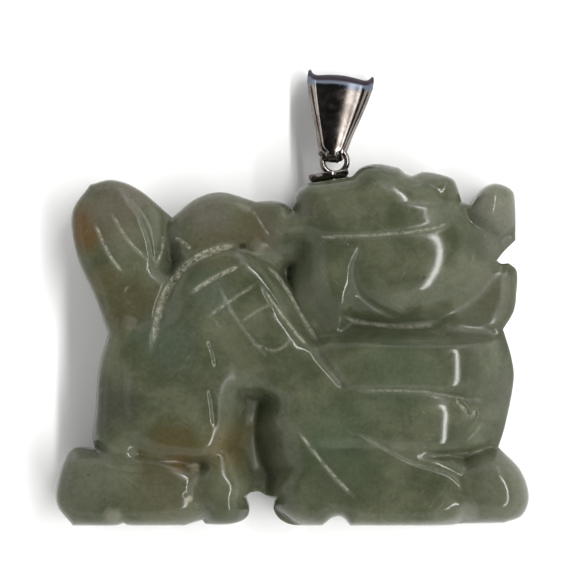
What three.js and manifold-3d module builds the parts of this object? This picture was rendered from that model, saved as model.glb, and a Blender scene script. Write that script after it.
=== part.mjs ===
// A carved aventurine pendant lying on its back: a crouching guardian beast that faces +X,
// with a steel cap, an eye and a tapered bail above its head. Millimetres, +Z up, the table at z = 0.
import * as THREE from 'three';
import { ConvexHull } from 'three/addons/math/ConvexHull.js';
import { mergeVertices } from 'three/addons/utils/BufferGeometryUtils.js';
import Module from 'manifold-3d';

// Driving sizes of the stone
const stoneLength = 46; // hind heel to front toe
const stoneThickness = 11.4; // ground back to the highest point of the face
const faceHeight = 6.3; // plane of the outline to the highest point of the face
const rimHeight = 4; // upright band that runs around the edge
const edgeRadius = 2.4; // rounding from that band to the face
const edgePower = 3; // 2 for a plain quarter round, more for a fuller one

// Driving sizes of the fittings
const capDiameter = 3.9;
const capThickness = 0.5;
const eyeDiameter = 2.9; // outside the ring
const eyeWire = 0.5;
const eyeShift = 0.8; // the eye stands this far to the right of the cap's middle
const bailLength = 9.8;
const bailWidth = 6.3; // across the wide top
const bailDepth = 4.2; // front to back at the top, over the flared edges
const bailWall = 0.4;
const bailWaist = 2.5; // width just above the eye
const bailFoot = 1.2; // width of the fold that passes through the eye
const bailSlack = 0.45; // how far the fold hangs clear of the eye's wire
const bailBulge = 0.5; // how full the sides are between waist and top, 0 for straight ones
const bailSpread = [-0.1, 0.55]; // heights over the fold's middle between which it widens to the waist
const bailCrown = 0.4; // how far the strip falls back on both sides of its middle, at the wide top
const bailFlare = 0.85; // how far its long edges turn outwards from there
const bailFlarePower = 8; // how close to the edges they turn
const bailLean = 6.5; // degrees to the right of upright
const clearance = 0.3; // between neighbouring pieces

// Spacing of the mesh
const outlinePitch = 0.72;
const facePitch = 0.88;
const backPitch = 1.6;
const cutPitch = 0.65;
const closestPoints = 0.34;
const faceRimRows = [0.35, 0.95, 1.8]; // rows of points this far inside the outline
const backRimRows = [0.6, 1.7];
const rowGap = 0.7; // between the points of two rows, part of outlinePitch
const rowSlack = 0.92; // part of its offset that a row keeps from the outline in its corners
const besideGap = 1.2; // between points beside a cut, in closestPoints
const shoulder = 1.5; // from a cut's middle to the row beside it, in its half widths
const fieldGap = 0.66; // between a field point and the others, part of the field's pitch
const discSides = 28;
const ringSides = 24;
const wireSides = 8;
const topSteps = 9;
const footSteps = 6;
const legSteps = 6;
const bailAcross = [-1, -0.9, -0.75, -0.35, 0.35, 0.75, 0.9, 1]; // parts of the bail's half width

// The figure is drawn in shares, hundredths of the stone's length, from its lower left corner.
const share = stoneLength / 100;

// The outline, anticlockwise, as smooth stretches that meet in corners
const outline = {
  hindSole: [[3.6, 0], [12.3, 0], [14.4, 0.5], [16.2, 0], [27.2, 0]],
  hindNotch: [[27.2, 0], [29, 0.6], [31, 1.2]],
  hindToes: [[31, 1.2], [32.1, 0.3], [37.2, 0.3], [40.2, 1.6], [40.9, 3.6], [40.2, 5.9]],
  belly: [[40.2, 5.9], [41, 6.8], [42.8, 7.2], [44.4, 6.4], [46.3, 5.5]],
  foreHeel: [[46.3, 5.5], [46.1, 3.3], [47.6, 1.2], [50.5, 0.1], [56.3, 0]],
  foreNotch: [[56.3, 0], [58.6, 1.7], [60.5, 1.8], [62.2, 0]],
  foreSole: [[62.2, 0], [81.3, 0], [86, 0.4], [94.7, 0.5]],
  foreToes: [[94.7, 0.5], [98.6, 2.1], [100.1, 6.3], [98.3, 11.8], [93.6, 16.6]],
  chest: [[93.6, 16.6], [95.1, 21.4], [96.8, 30.3], [96.4, 35.4], [94.6, 41.5]],
  chin: [[94.6, 41.5], [96.8, 45.2], [97.4, 49], [97.5, 53.7], [95.8, 55.5]],
  lowerLip: [[95.8, 55.5], [94.1, 55.4], [93.2, 56.1]],
  upperLip: [[93.2, 56.1], [95.1, 58.3], [97.2, 60.3]],
  nose: [[97.2, 60.3], [97.2, 67.9], [96.4, 71], [93, 72.4], [90, 71.1], [87.8, 68.2], [85.8, 68.5]],
  brow: [[85.8, 68.5], [84.9, 71.6], [83.4, 73.6], [78.1, 74.8], [75, 74], [72.4, 75.7]],
  crest: [[72.4, 75.7], [68.2, 76.5], [64.6, 75.8], [62.6, 73.9]],
  capSeat: [[62.6, 73.9], [53.2, 72.4]],
  nape: [[53.2, 72.4], [50.7, 70.2], [50, 66.6]],
  backNub: [[50, 66.6], [48.4, 68.1], [45.8, 68.7], [42.3, 68.5]],
  back: [[42.3, 68.5], [35, 70.5], [29.4, 69], [24.6, 65.1]],
  tailTop: [[24.6, 65.1], [17.6, 71], [12, 73.1], [7.2, 72.1]],
  tailBack: [[7.2, 72.1], [3.4, 66], [4.4, 57], [8.4, 48], [11, 40.7]],
  rump: [[11, 40.7], [9, 33], [8.4, 24.5], [7.7, 19], [8.4, 16.1]],
  hindHeel: [[8.4, 16.1], [3.3, 16], [0.6, 10.5], [0.2, 4.6], [3.6, 0]],
};

// The swelling masses: half length and half width, degrees of lean, height as a part of faceHeight,
// and power, from 2 for a round dome to 12 for a flat top with a quick fall at its edge.
// back: half length behind the middle where it differs; square: 2 for an oval plan, 4 for a squarish one
const masses = {
  head: { at: [62, 53], long: 33, wide: 14.5, lean: 0, rise: 0.8, power: 2, back: 12 },
  breast: { at: [70, 29], long: 29, wide: 16, lean: 0, rise: 0.86, power: 3, square: 3 },
  tail: { at: [11.8, 60.5], long: 16.5, wide: 13.4, lean: 108, rise: 0.66, power: 5 },
  tailRoot: { at: [16, 44.5], long: 12, wide: 14, lean: 108, rise: 0.66, power: 8 },
  hump: { at: [35, 61], long: 13, wide: 10, lean: 0, rise: 0.64, power: 8 },
  nub: { at: [45.6, 60.5], long: 9, wide: 5.5, lean: 80, rise: 0.57, power: 8 },
  wing: { at: [38.5, 43.5], long: 19, wide: 13.8, lean: -52, rise: 0.86, power: 8 },
  haunch: { at: [25.4, 29], long: 16.5, wide: 11, lean: 90, rise: 0.86, power: 10, square: 2.4 },
  thigh: { at: [30, 40], long: 13, wide: 10, lean: 60, rise: 0.86, power: 4 },
  rump: { at: [13.5, 29], long: 16, wide: 8, lean: 90, rise: 0.76, power: 8 },
  flank: { at: [46.5, 36], long: 14, wide: 9, lean: -40, rise: 0.86, power: 8 },
  hindFoot: { at: [13.5, 7.2], long: 24.5, wide: 9.8, lean: 0, rise: 0.82, power: 5 },
  hindToes: { at: [35.5, 7.6], long: 9.5, wide: 6, lean: 90, rise: 0.72, power: 3 },
  shoulder: { at: [56.5, 25.5], long: 20, wide: 13.5, lean: 62, rise: 0.86, power: 4 },
  chestUpper: { at: [72.3, 33.6], long: 23, wide: 8, lean: 0, rise: 0.97, power: 4, square: 4 },
  chestLower: { at: [69.9, 21.9], long: 22.5, wide: 8, lean: -3, rise: 0.95, power: 4, square: 4 },
  foreFoot: { at: [68, 7.8], long: 24, wide: 11, lean: 0, rise: 0.89, power: 8 },
  forePaw: { at: [91.6, 7.4], long: 11.5, wide: 9.8, lean: -10, rise: 0.95, power: 3.2 },
  cheek: { at: [69.6, 58], long: 25.5, wide: 17, lean: 0, rise: 0.95, power: 2.7, back: 18 },
  jowl: { at: [57, 52], long: 15, wide: 8.5, lean: 85, rise: 0.91, power: 4 },
  muzzle: { at: [86, 48.5], long: 17, wide: 9, lean: 0, rise: 0.47, power: 6 },
  nose: { at: [91, 69.4], long: 10, wide: 8.2, lean: 105, rise: 0.84, power: 2 },
  crest: { at: [62, 65.5], long: 24, wide: 16, lean: 0, rise: 0.98, power: 3.4 },
  browBand: { at: [69, 64.2], long: 17.5, wide: 5, lean: 4, rise: 0.93, power: 6, square: 3 },
  brow: { at: [82, 68.5], long: 7, wide: 7, lean: 10, rise: 0.72, power: 5 },
};

// The cuts between them, on both sides where both is set: half width and depth in shares
const cuts = {
  neckValley: { wide: 3.6, deep: 3.8, both: true,
    path: [[50.3, 63.5], [51.2, 54], [53.9, 46], [59, 39.4]] },
  legValley: { wide: 4.8, deep: 5.2, both: true, path: [[43.6, 24], [43.2, 16], [43.4, 7]] },
  groin: { wide: 3.2, deep: 2.6, both: true, path: [[43.8, 29], [43.4, 25], [43.4, 21]] },
  rumpHollow: { wide: 3.4, deep: 1.2, both: true, path: [[12.6, 40], [12.4, 30.7], [11, 17]] },
  tailCleft: { wide: 1.9, deep: 2.2, both: true, path: [[24.6, 62.5], [24.4, 58], [23.6, 54.5]] },
  mouthLine: { wide: 1.3, deep: 0.7, both: true, path: [[92.6, 56], [90.5, 56.2], [87.6, 57]] },
  browLine: { wide: 0.8, deep: 0.8, both: true,
    path: [[51.6, 60.9], [60, 61], [68.6, 61.4], [79, 62.6], [86.7, 65.6]] },
  jawLine: { wide: 1.2, deep: 1, both: true, path: [[58.5, 45.4], [64, 43.2], [74, 42], [82.9, 42.8]] },
  chestLine: { wide: 0.8, deep: 0.7, both: true,
    path: [[62.2, 28.8], [76, 28.6], [84, 27.4], [91, 25.9]] },
  pawLine: { wide: 0.8, deep: 0.7, both: true, path: [[77, 14.6], [86, 15.4], [92.6, 16.4]] },
  cheekRing: { wide: 0.9, deep: 0.8, both: true,
    path: [[64.4, 60.4], [63.9, 57.5], [62.9, 54.5], [63.3, 51], [65.3, 47.9], [70, 45], [74.5, 43.8]] },
  arch: { wide: 1, deep: 1.2, both: true, path: [[20.6, 36.7], [22.9, 48.1], [29.1, 56], [40.1, 60.2]] },
  footLine: { wide: 1.2, deep: 1, both: true, path: [[13.4, 19.5], [25, 14.5], [33.5, 13], [40, 14.8]] },
  throatLine: { wide: 1.3, deep: 1, path: [[81.3, 41.5], [87.7, 40.6], [93.4, 41]] },
  throatFold: { wide: 0.9, deep: 0.5, path: [[63.5, 39.6], [76, 38.8], [89.8, 39.2]] },
  forearmLine: { wide: 0.6, deep: 1, path: [[62.6, 20.5], [74.9, 13.9], [83.8, 10.9], [86, 7.1]] },
  elbowLine: { wide: 0.6, deep: 0.7, path: [[50.2, 21.5], [57, 12.9], [63.5, 5.9]] },
  archLower: { wide: 0.7, deep: 0.8, path: [[28.2, 48.8], [33.4, 52.2], [39.5, 55.1]] },
  bandUpper: { wide: 0.7, deep: 1, path: [[42.3, 57], [47.2, 52.3], [52.4, 43.9], [56.3, 37.5]] },
  bandLower: { wide: 0.6, deep: 0.8, path: [[43.5, 50.7], [49.9, 41.8], [54.1, 37.1]] },
  bandEnd: { wide: 0.9, deep: 0.9, path: [[54.8, 37.8], [57.6, 33.6], [61.6, 29]] },
  tailCutLow: { wide: 0.7, deep: 0.8, path: [[8.3, 64.3], [11.4, 57.6], [14.9, 52.8]] },
  tailCutMiddle: { wide: 0.6, deep: 0.8, path: [[11.9, 66.4], [15.5, 60.4], [19.7, 56.2]] },
  tailCutHigh: { wide: 0.5, deep: 0.8, path: [[17.8, 65.5], [19.9, 60], [21, 53]] },
  heelLine: { wide: 1, deep: 0.9, path: [[9.5, 14.6], [13.5, 12.6], [19.9, 12]] },
  toeLine: { wide: 1, deep: 0.6, path: [[31.2, 12.6], [29, 7.5], [30.8, 2.2]] },
};

// How the masses flow into each other and how the cuts fade
const blendSoftness = 0.05; // part of faceHeight
const groundRise = 0.4; // the stone between the masses, part of faceHeight
const cutFade = 0.18; // part of a cut's length over which each end fades
const cutEnd = 0.35; // part of the depth left at its ends
const cutRimFade = 1.3; // shares from the rim within which cuts are shallow

const steel = { color: 0x8d8a8c, roughness: 0.16, metalness: 1 };
const stone = { color: 0x6f7a62, roughness: 0.22, metalness: 0 };

const radians = THREE.MathUtils.degToRad;
const onPlan = ([x, y]) => new THREE.Vector3(x * share, y * share, 0);
const curveThrough = (points) => new THREE.CatmullRomCurve3(points.map(onPlan), false, 'catmullrom', 0.5);

// Points a pitch apart along a curve, its last one left out on request
function pointsAlong(curve, pitch, dropLast) {
  const steps = Math.max(2, Math.round(curve.getLength() / pitch));
  const points = curve.getSpacedPoints(steps);
  return dropLast ? points.slice(0, -1) : points;
}

// The nearest point of a chain of points: how far it is, and how far along the chain
function nearestOn(chain, x, y, closed) {
  let best = Infinity;
  let along = 0;
  const spans = closed ? chain.length : chain.length - 1;
  for (let i = 0; i < spans; i++) {
    const a = chain[i];
    const b = chain[(i + 1) % chain.length];
    const dx = b.x - a.x;
    const dy = b.y - a.y;
    const t = THREE.MathUtils.clamp(((x - a.x) * dx + (y - a.y) * dy) / (dx * dx + dy * dy), 0, 1);
    const distance = Math.hypot(a.x + t * dx - x, a.y + t * dy - y);
    if (distance < best) {
      best = distance;
      along = (i + t) / spans;
    }
  }
  return { distance: best, along };
}

function isInside(loop, x, y) {
  let inside = false;
  loop.forEach((a, i) => {
    const b = loop[(i + 1) % loop.length];
    if (a.y > y !== b.y > y && x < a.x + ((y - a.y) * (b.x - a.x)) / (b.y - a.y)) inside = !inside;
  });
  return inside;
}

// Height of one face over the plane of the outline
function reliefHeight(x, y, rimDistance, cutChains) {
  let sum = Math.exp(groundRise / blendSoftness);
  for (const { at, long, back = long, wide, lean, rise, power, square = 2 } of Object.values(masses)) {
    const centre = onPlan(at);
    const angle = radians(lean);
    const dx = (x - centre.x) / share;
    const dy = (y - centre.y) / share;
    const ahead = dx * Math.cos(angle) + dy * Math.sin(angle);
    const u = Math.abs(ahead) / (ahead < 0 ? back : long);
    const v = Math.abs(dy * Math.cos(angle) - dx * Math.sin(angle)) / wide;
    const fall = (u ** square + v ** square) ** (power / square);
    sum += Math.exp((rise * Math.sqrt(Math.max(0, 1 - fall))) / blendSoftness);
  }
  const rim = rimHeight / 2;
  const t = Math.min(1, rimDistance / edgeRadius);
  const rounding = (1 - (1 - t) ** edgePower) ** (1 / edgePower);
  let height = rim + (blendSoftness * Math.log(sum) * faceHeight - rim) * rounding;
  for (const { wide, deep, chain } of cutChains) {
    const { distance, along } = nearestOn(chain, x, y, false);
    const fade = THREE.MathUtils.smoothstep(Math.min(along, 1 - along), 0, cutFade);
    const nearRim = Math.min(1, rimDistance / (cutRimFade * share));
    const across = Math.exp(-((distance / (wide * share)) ** 2));
    height -= deep * share * across * (cutEnd + (1 - cutEnd) * fade) * nearRim;
  }
  return height;
}

// Keeps the candidates that stand clear of the outline and of the points already there
function addPoints(points, candidates, gap, rimGap, loop) {
  for (const { x, y } of candidates) {
    if (points.some((point) => Math.hypot(point.x - x, point.y - y) < gap)) continue;
    if (nearestOn(loop, x, y, true).distance < rimGap || !isInside(loop, x, y)) continue;
    points.push(new THREE.Vector3(x, y, 0));
  }
}

// Points beside a chain, each half a step on from the last row's
function rowBeside(chain, offset, closed) {
  const row = [];
  const spans = closed ? chain.length : chain.length - 1;
  for (let i = 0; i < spans; i++) {
    const a = chain[i];
    const b = chain[(i + 1) % chain.length];
    const length = Math.hypot(b.x - a.x, b.y - a.y);
    const x = (a.x + b.x) / 2 - ((b.y - a.y) / length) * offset;
    const y = (a.y + b.y) / 2 + ((b.x - a.x) / length) * offset;
    row.push(new THREE.Vector3(x, y, 0));
  }
  return row;
}

// Plan points of one face: rows along the rim, along and beside each cut, then a field of triangles
function facePoints(loop, cutChains, rimRows, pitch) {
  const points = loop.slice();
  for (const { chain } of cutChains) addPoints(points, chain, closestPoints, closestPoints, loop);
  for (const offset of rimRows) {
    const row = rowBeside(loop, offset, true);
    addPoints(points, row, outlinePitch * rowGap, offset * rowSlack, loop);
  }
  for (const { chain, wide } of cutChains) {
    const beside = Math.max(closestPoints, shoulder * wide * share);
    const gap = closestPoints * besideGap;
    for (const offset of [beside, -beside]) {
      addPoints(points, rowBeside(chain, offset, false), gap, gap, loop);
    }
  }
  const field = [];
  const rowStep = pitch * Math.sin(radians(60));
  for (let row = 0; row * rowStep < stoneLength; row++) {
    for (let column = 0; column * pitch < stoneLength; column++) {
      field.push(new THREE.Vector3((column + (row % 2) / 2) * pitch, row * rowStep, 0));
    }
  }
  addPoints(points, field, pitch * fieldGap, rimRows.at(-1), loop);
  return points;
}

// Triangles between plan points: the underside of the hull of the points lifted onto a paraboloid
function planTriangles(points, loop) {
  const lifted = points.map(({ x, y }) => new THREE.Vector3(x, y, x * x + y * y));
  const indexOf = new Map(lifted.map((point, index) => [point, index]));
  const triangles = [];
  for (const face of new ConvexHull().setFromPoints(lifted).faces) {
    if (face.normal.z >= 0) continue;
    const corners = [0, 1, 2].map((i) => indexOf.get(face.getEdge(i).head().point));
    const [a, b, c] = corners.map((corner) => points[corner]);
    if (isInside(loop, (a.x + b.x + c.x) / 3, (a.y + b.y + c.y) / 3)) triangles.push(corners.reverse());
  }
  return triangles;
}

// Steps of the outline that the triangles don't follow
function missingSteps(triangles, loop) {
  const edges = new Set(triangles.flatMap(([a, b, c]) => [`${a} ${b}`, `${b} ${c}`, `${c} ${a}`]));
  return loop.map((point, i) => i).filter((i) => !edges.has(`${i} ${(i + 1) % loop.length}`));
}

function closedGeometry(positions, indices) {
  const geometry = new THREE.BufferGeometry();
  const numbers = positions.flatMap((point) => point.toArray());
  geometry.setAttribute('position', new THREE.Float32BufferAttribute(numbers, 3));
  geometry.setIndex(indices);
  geometry.computeVertexNormals();
  return geometry;
}

function stoneGeometry() {
  const withChain = (cut) => ({ ...cut, chain: pointsAlong(curveThrough(cut.path), cutPitch) });
  const chains = Object.values(cuts).map(withChain);
  const backChains = chains.filter((cut) => cut.both);
  const backDepth = stoneThickness - faceHeight;
  const along = (stretch) => pointsAlong(curveThrough(stretch), outlinePitch, true);
  let loop = Object.values(outline).flatMap(along);
  let face;
  let back;
  for (let missing = [-1]; missing.length > 0; ) {
    face = { points: facePoints(loop, chains, faceRimRows, facePitch) };
    back = { points: facePoints(loop, backChains, backRimRows, backPitch) };
    for (const side of [face, back]) side.triangles = planTriangles(side.points, loop);
    missing = [...new Set([face, back].flatMap((side) => missingSteps(side.triangles, loop)))];
    loop = loop.flatMap((point, i) =>
      missing.includes(i) ? [point, point.clone().lerp(loop[(i + 1) % loop.length], 0.5)] : [point],
    );
  }
  const rimPoint = (point, z) => new THREE.Vector3(point.x, point.y, z);
  const raised = (side, sideChains, toZ) =>
    side.points.map((point, i) => {
      if (i < loop.length) return rimPoint(point, toZ(rimHeight / 2));
      const rimDistance = nearestOn(loop, point.x, point.y, true).distance;
      return rimPoint(point, toZ(reliefHeight(point.x, point.y, rimDistance, sideChains)));
    });
  const positions = [
    ...raised(face, chains, (height) => backDepth + height),
    ...raised(back, backChains, (height) => backDepth - Math.min(height, backDepth)),
  ];
  const start = face.points.length;
  const indices = face.triangles.flat();
  for (const [a, b, c] of back.triangles) indices.push(start + a, start + c, start + b);
  loop.forEach((point, i) => {
    const next = (i + 1) % loop.length;
    indices.push(i, start + i, start + next, i, start + next, next);
  });
  return closedGeometry(positions, indices);
}

const wasm = await Module();
wasm.setup();

function toSolid(geometry, matrix) {
  const plain = geometry.clone().applyMatrix4(matrix);
  plain.deleteAttribute('normal');
  plain.deleteAttribute('uv');
  const merged = mergeVertices(plain);
  const vertProperties = merged.attributes.position.array;
  return new wasm.Manifold(new wasm.Mesh({ numProp: 3, vertProperties, triVerts: merged.index.array }));
}

function fromSolid(solid) {
  const { vertProperties, triVerts } = solid.getMesh();
  const geometry = new THREE.BufferGeometry();
  geometry.setAttribute('position', new THREE.BufferAttribute(vertProperties, 3));
  geometry.setIndex(new THREE.BufferAttribute(triVerts, 1));
  geometry.computeVertexNormals();
  return geometry;
}

// A disc with a ring standing on it, in its own frame: the seat along x, the way up along y
const eyeHeight = eyeDiameter / 2;
function capGeometry() {
  const disc = new THREE.CylinderGeometry(capDiameter / 2, capDiameter / 2, capThickness, discSides);
  const ring = new THREE.TorusGeometry((eyeDiameter - eyeWire) / 2, eyeWire / 2, wireSides, ringSides);
  const discPlace = new THREE.Matrix4().makeTranslation(0, capThickness / 2, 0);
  const ringPlace = new THREE.Matrix4().makeTranslation(eyeShift, eyeHeight, 0);
  return fromSolid(toSolid(disc, discPlace).add(toSolid(ring, ringPlace)));
}

// The bail's strip runs around two rounds, a small one in the eye and a large one at the chain.
const footRadius = eyeWire / 2 + clearance;
const topRadius = bailDepth / 2 - (bailFlare - bailCrown) - bailWall;
const bailReach = bailLength - bailDepth / 2 - footRadius - bailWall;

// Half the strip's width at a height over the middle of the fold in the eye
function bailHalfWidth(height) {
  const [spreadStart, spreadEnd] = bailSpread;
  const toTop = THREE.MathUtils.clamp((height - spreadEnd) / (bailReach - spreadEnd), 0, 1);
  const above = THREE.MathUtils.lerp(bailWaist, bailWidth, toTop + bailBulge * toTop ** 2 * (1 - toTop));
  const spread = THREE.MathUtils.smoothstep(height, spreadStart, spreadEnd);
  return THREE.MathUtils.lerp(bailFoot, above, spread) / 2;
}

// Closed strip: the fold's path lies in the y-z plane, its width runs along x
function bailGeometry() {
  const tangent = Math.asin((topRadius - footRadius) / bailReach);
  const stations = [];
  const roundTurn = (centre, radius, from, to, steps) => {
    for (let i = 0; i <= steps; i++) {
      const angle = THREE.MathUtils.lerp(from, to, i / steps);
      stations.push({ y: centre + radius * Math.cos(angle), z: radius * Math.sin(angle), angle });
    }
  };
  const leg = (from, to, steps) => {
    for (let i = 1; i < steps; i++) {
      const t = i / steps;
      const y = THREE.MathUtils.lerp(from.y, to.y, t);
      stations.push({ y, z: THREE.MathUtils.lerp(from.z, to.z, t), angle: to.angle });
    }
  };
  const legAngle = Math.PI / 2 + tangent;
  roundTurn(bailReach, topRadius, -legAngle, legAngle, topSteps);
  const topFront = stations.at(-1);
  const topBack = stations[0];
  const footEnd = (angle) => ({ y: footRadius * Math.cos(angle), z: footRadius * Math.sin(angle), angle });
  leg(topFront, footEnd(legAngle), legSteps);
  roundTurn(0, footRadius, legAngle, 2 * Math.PI - legAngle, footSteps);
  leg(stations.at(-1), { ...topBack, angle: 2 * Math.PI - legAngle }, legSteps);

  const positions = stations.flatMap(({ y, z, angle }) => {
    const half = bailHalfWidth(y);
    const size = half / (bailWidth / 2);
    const at = (part, lift) => {
      const out = lift + size * (bailFlare * Math.abs(part) ** bailFlarePower - bailCrown * part ** 2);
      return new THREE.Vector3(part * half, y + out * Math.cos(angle), z + out * Math.sin(angle));
    };
    const outer = bailAcross.map((part) => at(part, bailWall));
    return [...outer, ...bailAcross.toReversed().map((part) => at(part, 0))];
  });
  const ring = 2 * bailAcross.length;
  const indices = [];
  stations.forEach((station, i) => {
    const here = i * ring;
    const next = ((i + 1) % stations.length) * ring;
    for (let k = 0; k < ring; k++) {
      const side = (k + 1) % ring;
      indices.push(here + k, next + side, here + side, here + k, next + k, next + side);
    }
  });
  return closedGeometry(positions, indices);
}

function named(name, geometry, look) {
  const mesh = new THREE.Mesh(geometry, new THREE.MeshStandardMaterial(look));
  mesh.name = name;
  return mesh;
}

const pendant = new THREE.Group();
pendant.add(named('stone_carving', stoneGeometry(), stone));

// The cap stands on its seat, halfway between the two faces
const [seatRight, seatLeft] = outline.capSeat.map(onPlan);
const seatAngle = Math.atan2(seatRight.y - seatLeft.y, seatRight.x - seatLeft.x);
const fittings = new THREE.Group();
fittings.position.copy(seatRight).lerp(seatLeft, 0.5).setZ(stoneThickness - faceHeight);
fittings.rotation.z = seatAngle;
pendant.add(fittings);

const cap = named('cap_with_eye', capGeometry(), steel);
cap.position.y = clearance;
fittings.add(cap);

// The bail leans to the right and hangs back until its wide end lies on the table
const leaning = new THREE.Group();
leaning.position.set(eyeShift, clearance + eyeHeight + (eyeDiameter - eyeWire) / 2, 0);
leaning.rotation.z = -radians(bailLean) - seatAngle;
fittings.add(leaning);
const bail = named('bail', bailGeometry(), steel);
bail.rotation.x = -Math.asin((stoneThickness - faceHeight - bailDepth / 2) / (bailReach - bailSlack));
bail.translateY(-bailSlack);
leaning.add(bail);

// The origin goes under the middle of the whole pendant
pendant.updateMatrixWorld(true);
const box = new THREE.Box3().setFromObject(pendant, true);
const centre = box.getCenter(new THREE.Vector3());
pendant.position.set(-centre.x, -centre.y, -box.min.z);

export default pendant;
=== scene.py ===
import math

import bpy
import numpy as np
from mathutils import Matrix, Vector
from mathutils.geometry import delaunay_2d_cdt


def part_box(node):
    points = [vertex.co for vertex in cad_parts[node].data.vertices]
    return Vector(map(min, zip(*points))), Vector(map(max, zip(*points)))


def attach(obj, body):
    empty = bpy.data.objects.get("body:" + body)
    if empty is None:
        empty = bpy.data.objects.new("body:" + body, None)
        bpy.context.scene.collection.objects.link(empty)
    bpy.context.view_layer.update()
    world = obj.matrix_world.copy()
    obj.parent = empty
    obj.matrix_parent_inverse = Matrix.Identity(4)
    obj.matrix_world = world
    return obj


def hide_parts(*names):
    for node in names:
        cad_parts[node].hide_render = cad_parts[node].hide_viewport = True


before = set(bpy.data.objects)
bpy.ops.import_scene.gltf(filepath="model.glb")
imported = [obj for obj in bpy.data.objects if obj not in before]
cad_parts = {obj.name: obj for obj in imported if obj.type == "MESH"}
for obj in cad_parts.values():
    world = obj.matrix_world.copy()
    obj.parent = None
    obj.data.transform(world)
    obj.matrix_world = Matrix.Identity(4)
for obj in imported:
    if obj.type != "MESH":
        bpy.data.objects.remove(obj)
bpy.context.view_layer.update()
mm = 0.001
print("frame loaded:", ", ".join(sorted(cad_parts)))


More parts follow.
